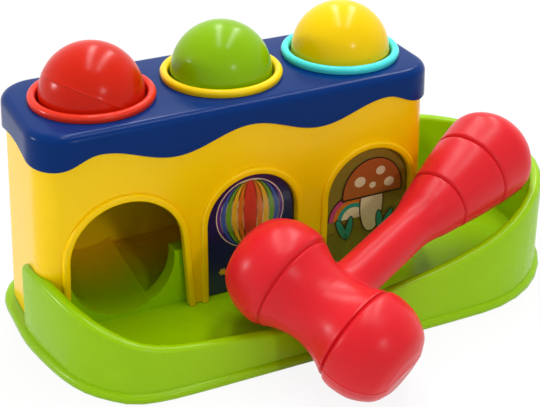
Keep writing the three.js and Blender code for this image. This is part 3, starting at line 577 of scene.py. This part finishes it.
def way_round(point):
    """How far a point of the lid's edge is from the middle of the front, along the edge."""
    a, b = lid_width / 2 - lid_corner, lid_depth / 2 - lid_corner
    x, y = abs(point.x - HOUSE_MID.x), point.y - HOUSE_MID.y
    quarter = lid_corner * math.pi / 2
    if y <= -b:
        return x if x <= a else a + lid_corner * math.atan2(x - a, -b - y)
    if y < b:
        return a + quarter + y + b
    if x >= a:
        return a + quarter + 2 * b + lid_corner * math.atan2(y - b, x - a)
    return a + 2 * quarter + 2 * b + a - x


def skirt_edge(point):
    """Height of the wavy edge below a point of the lid."""
    half = lid_width + lid_depth - (4 - math.pi) * lid_corner
    way = way_round(point)
    way = min(way, half - way)
    share = min(1, max(0, (way - FRONT_WAVE) / (CORNER_TROUGH - FRONT_WAVE)))
    if way < CORNER_TROUGH:
        phase = min(1, way / FRONT_WAVE) + 0.5 * share
    else:
        phase = 1.5 + 0.5 * (way - CORNER_TROUGH) / (half / 2 - CORNER_TROUGH)
    fade = 1 - (1 - END_WAVE) * share**2 * (3 - 2 * share)
    return LID_TOP - SKIRT_MEAN + fade * SKIRT_WAVE * math.cos(2 * math.pi * phase)


skirt_z = LID_TOP - SKIRT_MEAN
cover = rounded_plan(lid_width, lid_depth, lid_corner, skirt_z)
for side in [e for e in cover.edges if e.calc_length() > LONG_EDGE]:
    bmesh.ops.subdivide_edges(cover, edges=[side], cuts=round(side.calc_length() / SKIRT_STEP))
upper = bmesh.ops.extrude_face_region(cover, geom=cover.faces[:])["geom"]
bmesh.ops.translate(cover, verts=vertices(upper), vec=(0, 0, SKIRT_MEAN))
rim = [e for e in cover.edges if all(v.co.z > LID_TOP - LEVEL for v in e.verts)]
rounded_off(cover, rim, LID_ROUND, LID_ROUND_CUTS, "EDGES")
under = [f for f in cover.faces if all(abs(v.co.z - skirt_z) < LEVEL for v in f.verts)]
bmesh.ops.delete(cover, geom=under, context="FACES_ONLY")
for v in cover.verts:
    if abs(v.co.z - skirt_z) < LEVEL:
        v.co.z = skirt_edge(v.co)
for v in cover.verts:
    v.co.x += (v.co.x - HOUSE_MID.x) * 2 * (lean_at(v.co.z) - lid_lean) / lid_width
bmesh.ops.recalc_face_normals(cover, faces=cover.faces[:])
bmesh.ops.solidify(cover, geom=cover.faces[:], thickness=LID_SKIN)
steps = []
for side in SIDES:
    drill = bmesh.new()
    made = bmesh.ops.create_cone(
        drill,
        cap_ends=True,
        segments=DRILL_SIDES,
        radius1=LID_HOLE,
        radius2=LID_HOLE,
        depth=DRILL_DEPTH,
    )
    bmesh.ops.translate(drill, verts=made["verts"], vec=(RING_X[side], 0, LID_TOP))
    steps.append((drill, "DIFFERENCE"))
lid = piece(carve(cover, steps), "lid_cover", "toy", [lid_abs], ["lid"])
soft_edges(lid, LID_BREAK, LID_BREAK_DEG)

# %% [markdown]
# Each ring is a round bead on the lid with a sleeve down its hole, and under it a soft grip with a thin lip
# holds the ball. Both are turned shapes, so a short section is spun once round the ring's axis.

# %% Rings and grips
BALL_R = 23
SLEEVE_IN = 24
SLEEVE_OUT = 26
BEAD_W = 3.8
BEAD_STEPS = 14
BEAD_FROM, BEAD_SWEEP = -12, 192
LID_SEAT = 0.12
HOLD_BELOW = 9.2
HOLD_ROOM = 0.15
RING_STEPS = 88
ring_foot, ring_top = (corner.z for corner in extent("ring_middle"))
bead_z = LID_TOP + LID_SEAT
section = [(SLEEVE_IN, 0, ring_foot), (SLEEVE_OUT, 0, ring_foot), (SLEEVE_OUT, 0, bead_z)]
section.append((SLEEVE_IN + BEAD_W - 0.3, 0, bead_z))
for i in range(BEAD_STEPS + 1):
    a = math.radians(BEAD_FROM + BEAD_SWEEP * i / BEAD_STEPS)
    out = SLEEVE_IN + BEAD_W / 2 * (1 + math.cos(a))
    section.append((out, 0, ring_top - BEAD_W / 2 * (1 - math.sin(a))))
grip_low, grip_high = extent("grip_middle")
lip_r = math.sqrt(BALL_R**2 - HOLD_BELOW**2) + HOLD_ROOM
grip_section = [
    (lip_r, 0, grip_high.z - 0.3),
    (lip_r + 0.15, 0, grip_high.z - 0.85),
    (lip_r + 1.2, 0, grip_high.z - 1.15),
    (SLEEVE_IN + 0.2, 0, grip_high.z - 1.4),
    (SLEEVE_IN + 0.2, 0, grip_low.z),
    (SLEEVE_OUT, 0, grip_low.z),
    (SLEEVE_OUT, 0, grip_high.z),
    (lip_r + 0.3, 0, grip_high.z),
]
for side in SIDES:
    ring = turned(section, (0, 0, 1), RING_STEPS, closed=True)
    grip = turned(grip_section, (0, 0, 1), RING_STEPS, closed=True)
    for bm in (ring, grip):
        bmesh.ops.translate(bm, verts=bm.verts[:], vec=(RING_X[side], 0, 0))
    piece(ring, "bead_" + side, "toy", [ring_pp[side]], ["ring_" + side])
    piece(grip, "washer_" + side, "toy", [grip_tpe], ["grip_" + side])

# %% [markdown]
# The balls are blown in a mould of two halves, which leaves a fine raised line round each of them. A sphere
# is cut twice beside its middle ring, and that ring is lifted by a fraction of a millimetre. On the red
# ball the line runs across the front, and on the other two it lies level with the ring, where the bead
# hides it.

# %% Balls
SEAM_HALF = 0.35
SEAM_RISE = 0.18
SEAM_REACH = 0.02
ON_PLANE = 0.0001
BALL_ROUND, BALL_HIGH = 96, 48
SEAM_NORMAL = {"left": (0.501, 0.172, 0.848), "middle": (0.05, -0.03, 1), "right": (-0.04, 0.03, 1)}


def raise_seam(bm, rise):
    """Lifts the line where two mould halves meet, in the plane z = 0."""
    for height in (-SEAM_HALF, SEAM_HALF):
        geom = bm.verts[:] + bm.edges[:] + bm.faces[:]
        bmesh.ops.bisect_plane(bm, geom=geom, plane_co=(0, 0, height), plane_no=(0, 0, 1), dist=ON_PLANE)
    bm.normal_update()
    for v in [v for v in bm.verts if abs(v.co.z) < SEAM_REACH]:
        v.co += v.normal * rise


for side in SIDES:
    low, high = extent("ball_" + side)
    ball = bmesh.new()
    bmesh.ops.create_uvsphere(ball, u_segments=BALL_ROUND, v_segments=BALL_HIGH, radius=BALL_R)
    raise_seam(ball, SEAM_RISE)
    lean = Vector((0, 0, 1)).rotation_difference(Vector(SEAM_NORMAL[side])).to_matrix().to_4x4()
    ball.transform(Matrix.Translation((low + high) / 2) @ lean)
    node = "ball_" + side
    piece(ball, "blown_ball_" + side, node, [ball_pe[side]], [node])

# %% [markdown]
# The hammer is blown in one piece. Its head is turned about one line and its handle about another, and the
# mould line runs through both. The foot of the handle is let down onto the head in four rings, each a
# little wider and closer to it, which makes the soft fillet that a blown hollow always has where two tubes
# meet.

# %% Hammer
HAMMER_AT = Vector((6.6, -90, 32.3))
HEAD_DIR = Vector((0.4216, -0.8391, -0.3439)).normalized()
HANDLE_DIR = Vector((0.9046, 0.3627, 0.224))
HANDLE_DIR = (HANDLE_DIR - HANDLE_DIR.dot(HEAD_DIR) * HEAD_DIR).normalized()
GROOVE = 1.3
HAMMER_STEPS = 96
HAMMER_SEAM = 0.2
HAMMER_SHARP = 50
RAY_FROM = 60


def groove(at, radius, slope):
    """A shallow round groove in a profile of (along, radius)."""
    half = ((1.3, 0), (0.8, 0.12), (0.45, 0.6), (0.2, 0.95))
    dips = [(-d, depth) for d, depth in half] + list(reversed(half))
    return [(at + d, radius + slope * d - GROOVE * depth) for d, depth in dips]


HEAD_END = 43.75
waist = flowing([(0, 17.4), (5, 17.9), (11.1, 19.55), (16.4, 22.1)], 5)
cap_points = [(19, 23.3), (21.1, 23.85), (25.1, 23.95), (31.7, 22.9), (37.7, 19.9), (41.4, 16.6)]
cap = flowing([*cap_points, (HEAD_END, 11.5)], 5)
half_head = [*waist[:-1], *groove(17.7, 22.6, 0.35), *cap, Vector((HEAD_END, 0))]
head_line = [(-along, radius, 0) for along, radius in reversed(half_head[1:])]
head_line += [(along, radius, 0) for along, radius in half_head]
head = turned(head_line, (1, 0, 0), HAMMER_STEPS)

FILLET = ((12.8, -0.35), (11.5, 0.3), (10.7, 1.2), (10.25, 2.8))
HANDLE_END = 136.6
lower = flowing([(24, 10.2), (50, 10.2), (61, 10.25), (67.7, 11.35), (74.5, 13.26), (82.4, 15.0)], 6)
middle = flowing([(85.4, 15.75), (96.8, 18.3), (107.1, 20.2)], 5)
upper_points = [(110.1, 20.75), (117, 21.7), (123.9, 22.4), (128.4, 21.5), (132.7, 18.8), (135.2, 15.6)]
upper = flowing([*upper_points, (HANDLE_END, 8.2)], 6)
grip_line = [*lower[:-1], *groove(83.9, 15.35, 0.25), *middle[:-1]]
grip_line += [*groove(108.6, 20.45, 0.15), *upper, (HANDLE_END, 0)]
handle_line = [(0, -5, 0)] + [(ring[0], i, 0) for i, ring in enumerate(FILLET)]
for along, radius in grip_line:
    handle_line.append((radius, along, 0))
handle = turned(handle_line, (0, 1, 0), HAMMER_STEPS)
surface = BVHTree.FromBMesh(head)
for v in handle.verts:
    if -1 < v.co.y < len(FILLET):
        rise = FILLET[round(v.co.y)][1]
        hit = surface.ray_cast(Vector((v.co.x, RAY_FROM, v.co.z)), Vector((0, -1, 0)))[0]
        v.co.y = hit.y + rise
bmesh.ops.recalc_face_normals(handle, faces=handle.faces[:])
hammer = carve(head, [(handle, "UNION")])
raise_seam(hammer, HAMMER_SEAM)
basis = Matrix((HEAD_DIR, HANDLE_DIR, HEAD_DIR.cross(HANDLE_DIR))).transposed().to_4x4()
hammer.transform(Matrix.Translation(HAMMER_AT) @ basis)
piece(hammer, "blown_hammer", "hammer", [hammer_pe], ["hammer"], sharp=HAMMER_SHARP)

# %% [markdown]
# The tray and the run inside the house are already fully shaped in the CAD model. Their meshes there are
# loose triangles, so a copy is merged and shaded smooth across the rounded rim, and a narrow bevel breaks
# the hard corners as every moulded edge is broken. The run is green like the tray at its mouth. Deeper in,
# it lies in shade and takes the yellow light that the house's walls throw back, and that light is painted:
# a ramp along its depth mixes the green over softly into the house's yellow, a painted reflection. The outer
# face of its right cheek is moved out, so that no gap shows beside it in the wider arch.

# %% Tray and ball run
EDGE_BREAK = 0.5
EDGE_BREAK_DEG = 55
MERGE = 0.005
FLAT_DEG = 0.4
TRAY_SHARP, RUN_SHARP = 48, 40
CHEEK_NEAR = 0.05
CHEEK_OUT = 26.6
CHEEK_WIDER = 6
GREEN_DEPTH = 10
YELLOW_DEPTH = 58


def from_cad(node):
    """A merged copy of a CAD node in the toy's own millimetres."""
    bm = bmesh.new()
    bm.from_mesh(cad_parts[node].data)
    bm.transform(TO_TOY)
    bmesh.ops.remove_doubles(bm, verts=bm.verts[:], dist=MERGE)
    return bm


def softened(bm, name, finish, nodes, sharp):
    """A piece with flat faces joined up and its hard corners broken."""
    flat = math.radians(FLAT_DEG)
    bmesh.ops.dissolve_limit(bm, angle_limit=flat, verts=bm.verts[:], edges=bm.edges[:])
    made = piece(bm, name, "toy", [finish], nodes, sharp)
    soft_edges(made, EDGE_BREAK, EDGE_BREAK_DEG)


softened(from_cad("tray_base"), "tray", tray_pp, ["tray_base"], TRAY_SHARP)
# Painted bounce light: the run's colour goes from lime to the house's yellow deeper in. This stands in for
# shade and for yellow light thrown back by the house's walls, not a second pigment.
run_pp_painted_bounce = tray_pp.copy()
run_pp_painted_bounce.name = "polypropylene_lime_painted_yellow_bounce"
tree = run_pp_painted_bounce.node_tree
shader = tree.nodes["Principled BSDF"]
lime = shader.inputs["Base Color"].links[0].from_socket
place = add(tree, "ShaderNodeTexCoord").outputs["Object"]
depth = add(tree, "ShaderNodeSeparateXYZ", None, None, {"Vector": place})
run_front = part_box("ball_run")[0].y
ramp = add(
    tree,
    "ShaderNodeMapRange",
    {"interpolation_type": "SMOOTHSTEP"},
    {"From Min": run_front + GREEN_DEPTH * MM, "From Max": run_front + YELLOW_DEPTH * MM},
    {"Value": depth.outputs["Y"]},
)
painted_bounce_mix = {0: ramp.outputs["Result"], 6: lime}
blend = add(tree, "ShaderNodeMix", {"data_type": "RGBA"}, {7: linear(HOUSE_YELLOW)}, painted_bounce_mix)
tree.links.new(blend.outputs[2], shader.inputs["Base Color"])
chute = from_cad("ball_run")
cheek = [v for v in chute.verts if abs(v.co.x - RING_X["left"] - CHEEK_OUT) < CHEEK_NEAR]
bmesh.ops.translate(chute, verts=cheek, vec=(CHEEK_WIDER, 0, 0))
print("points of the cheek moved", len(cheek))
softened(chute, "run_chute", run_pp_painted_bounce, ["ball_run"], RUN_SHARP)

# %% [markdown]
# The two windows are clear panes behind the wall. They and the screws are plain enough to stay as the CAD
# model has them, so they only get their finish.

# %% Panes and screws
for side in ("middle", "right"):
    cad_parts["pane_" + side].data.materials.clear()
    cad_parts["pane_" + side].data.materials.append(pane_ps)
for node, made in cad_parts.items():
    if "screw" in node:
        made.data.materials.clear()
        made.data.materials.append(screw_steel)
print("screws", sum("screw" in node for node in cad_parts))

# %% [markdown]
# A printed film lies on each pane. The prints are simple shapes of our own: a striped balloon over a starry
# ground in the middle, and a toadstool with a rainbow and grass on the right. Every shape is a thin layer
# of ink, drawn from circles that are scaled, cut and stacked.

# %% Prints
LABEL_INSET = 0.5
LAYER = 0.05
OVERLAP = 1.5
FOOT = HOUSE_BASE + LABEL_INSET
film_front, film_back = (corner.y for corner in extent("label_middle"))
INK_CODES = {
    "navy": "1B2150",
    "cream": "F0DDB4",
    "red": "D8402A",
    "orange": "E07A22",
    "yellow": "E9B92C",
    "green": "6FA62C",
    "teal": "2F9C84",
    "blue": "3A5FA8",
    "violet": "5A3288",
    "pink": "C9487C",
    "brown": "B4622C",
    "dark": "3A1C1A",
}
inks = {name: ink(name, code) for name, code in INK_CODES.items()}
ink_names = list(inks)


def spot(art, colour, layer, x, z, width, height, turn=0, below=None, above=None, sides=48):
    """A thin oval of ink, or the part of it below or above some level of its own."""
    bm = bmesh.new()
    bmesh.ops.create_circle(bm, cap_ends=True, segments=sides, radius=1)
    bm.transform(Matrix.Diagonal((width / 2, height / 2, 1, 1)))
    for level, inner, outer in ((below, False, True), (above, True, False)):
        if level is not None:
            geom = bm.verts[:] + bm.edges[:] + bm.faces[:]
            bmesh.ops.bisect_plane(
                bm,
                geom=geom,
                plane_co=(0, level, 0),
                plane_no=(0, 1, 0),
                clear_inner=inner,
                clear_outer=outer,
            )
            bmesh.ops.remove_doubles(bm, verts=bm.verts[:], dist=SLIVER)
    thick = bmesh.ops.extrude_face_region(bm, geom=bm.faces[:])["geom"]
    bmesh.ops.translate(bm, verts=vertices(thick), vec=(0, 0, LAYER * OVERLAP))
    stand = Matrix.Rotation(math.pi / 2, 4, "X") @ Matrix.Rotation(math.radians(turn), 4, "Z")
    bm.transform(Matrix.Translation((x, film_front - LAYER * layer, z)) @ stand)
    bmesh.ops.recalc_face_normals(bm, faces=bm.faces[:])
    for f in bm.faces:
        f.material_index = ink_names.index(colour)
    mesh = bpy.data.meshes.new("spot")
    bm.to_mesh(mesh)
    bm.free()
    art.from_mesh(mesh)
    bpy.data.meshes.remove(mesh)


def film(side):
    """A film that fills the window of one side."""
    half, top = WINDOW_HALF - LABEL_INSET, ARCH_TOP - LABEL_INSET
    return arch_plate(RING_X[side], half, FOOT, top, 0, film_front, film_back)


BALLOON_Z, BALLOON_HIGH = 50, 34
LINE = 0.9
gores = {"violet": 33, "blue": 29, "green": 24, "yellow": 18.5, "orange": 12.5, "red": 6.5}
stars = ((-14, 22, 4, "yellow"), (13, 27, 3, "pink"), (-8, 16, 2.2, "cream"), (9, 17, 3.4, "teal"))
starry = film("middle")
x = RING_X["middle"]
for layer, (colour, width) in enumerate(gores.items(), 1):
    spot(starry, "cream", layer, x, BALLOON_Z, width + LINE, BALLOON_HIGH + LINE)
    spot(starry, colour, layer + 1, x, BALLOON_Z, width, BALLOON_HIGH)
spot(starry, "brown", 1, x, 25.5, 7, 6, below=1.6)
for dx, dz, size, colour in stars:
    for turn in (0, 60, 120):
        spot(starry, colour, 1 + turn / 60, x + dx, dz, size, size * 0.34, turn, sides=20)
piece(starry, "print_middle", "toy", list(inks.values()), ["label_middle"])

piece(film("right"), "film_right", "toy", [film_painted_interior_light], ["label_right"])
rainbow = {"dark": 27, "pink": 25.6, "orange": 21, "teal": 16.5, "cream": 12}
art = bmesh.new()
x = RING_X["right"]
stem = x + 3
for layer, (colour, size) in enumerate(rainbow.items(), 1):
    spot(art, colour, layer, x - 7, 34, size, size, above=0)
spot(art, "dark", 6, stem, 40, 13.4, 31.4)
spot(art, "cream", 7, stem, 40, 12, 30)
spot(art, "dark", 8, stem, 46, 33, 37, above=-2)
spot(art, "brown", 9, stem, 46.6, 31.4, 34.6, above=-1.6)
for dx, dz, size in ((-7, 53, 6), (4, 57, 5), (9, 50, 5.4), (0, 50, 3.6)):
    spot(art, "cream", 10, stem + dx, dz, size, size * 0.9)
for dx, turn in ((-13, 25), (-9, -10), (12, -25), (8, 8)):
    spot(art, "dark", 9, x + dx, 29, 4.4, 13.4, turn)
    spot(art, "teal", 10, x + dx, 29, 3.2, 12, turn)
piece(art, "print_right", "toy", list(inks.values()))

# %% [markdown]
# The set stands on a white sweep. To the camera, in reflections and through the panes the floor is nearly
# plain white, and it still takes the set's soft shadow.

# %% Floor
FLOOR_WHITE = 0.9
FLOOR_HALF = 4


def seen_white(tree):
    """One for rays from the camera, a reflection or through a clear piece, and nought for the rest."""
    ray = add(tree, "ShaderNodeLightPath").outputs
    first = {0: ray["Is Camera Ray"], 1: ray["Is Glossy Ray"]}
    either = add(tree, "ShaderNodeMath", {"operation": "MAXIMUM"}, None, first)
    last = {0: either.outputs[0], 1: ray["Is Transmission Ray"]}
    return add(tree, "ShaderNodeMath", {"operation": "MAXIMUM"}, None, last)


sheet = bmesh.new()
bmesh.ops.create_grid(sheet, x_segments=2, y_segments=2, size=FLOOR_HALF)
mesh = bpy.data.meshes.new("floor")
sheet.to_mesh(mesh)
sheet.free()
floor = bpy.data.objects.new("floor", mesh)
scene.collection.objects.link(floor)
floor_paper = bpy.data.materials.new("paper_white_sweep")
floor_paper.use_nodes = True
tree = floor_paper.node_tree
paper = tree.nodes["Principled BSDF"]
paper.inputs["Base Color"].default_value = linear("EDEDED")
paper.inputs["Roughness"].default_value = 0.9
seen = seen_white(tree)
share = add(tree, "ShaderNodeMath", {"operation": "MULTIPLY"}, {1: FLOOR_WHITE}, {0: seen.outputs[0]})
white = add(tree, "ShaderNodeEmission", None, {"Color": (1, 1, 1, 1), "Strength": 1.0})
both = {0: share.outputs[0], 1: paper.outputs[0], 2: white.outputs[0]}
blend = add(tree, "ShaderNodeMixShader", None, None, both)
tree.links.new(blend.outputs[0], tree.nodes["Material Output"].inputs["Surface"])
floor.data.materials.append(floor_paper)
print("floor in metres", [round(d, 1) for d in floor.dimensions])

# %% [markdown]
# The light is that of a product table in a pale room: two long strips overhead that point at the camera, a
# small soft box low on the left and another to the right of the camera. Each is placed by the way it lies
# from the set, in the camera's own right, up and back.

# %% Light
ROOM = 0.48
LAMP_AWAY = 1.3
world = bpy.data.worlds.new("pale_room")
world.use_nodes = True
scene.world = world
tree = world.node_tree
seen = seen_white(tree)
levels = {"To Min": ROOM, "To Max": 1.0}
strength = add(tree, "ShaderNodeMapRange", None, levels, {"Value": seen.outputs[0]})
tree.nodes["Background"].inputs["Color"].default_value = (1, 1, 1, 1)
tree.links.new(strength.outputs["Result"], tree.nodes["Background"].inputs["Strength"])

camera_turn = camera_object.matrix_world.to_3x3()
to_camera = camera_turn.col[2].copy()
TABLE_MID = Vector((0, 0, 0.06))
soft_boxes = [
    ("overhead_left", (-0.09, 0.97, 0.16), 0.14, 1.7, 10.5),
    ("overhead_right", (0.28, 0.92, 0.16), 0.14, 1.7, 10.5),
    ("left", (-0.94, 0.22, 0.2), 0.1, 0.2, 4.4),
    ("camera", (0.46, 0.05, 0.87), 0.14, 0.09, 2.2),
]
for name, direction, width, length, power in soft_boxes:
    lamp = bpy.data.lights.new(name, "AREA")
    lamp.shape = "RECTANGLE"
    lamp.size = width
    lamp.size_y = length
    lamp.energy = power
    away = (camera_turn @ Vector(direction)).normalized()
    lamp_object = bpy.data.objects.new(name, lamp)
    length_way = (to_camera - to_camera.dot(away) * away).normalized()
    turn = Matrix((length_way.cross(away), length_way, away)).transposed().to_4x4()
    lamp_object.matrix_world = Matrix.Translation(TABLE_MID + away * LAMP_AWAY) @ turn
    scene.collection.objects.link(lamp_object)
print("lamps", len(soft_boxes))
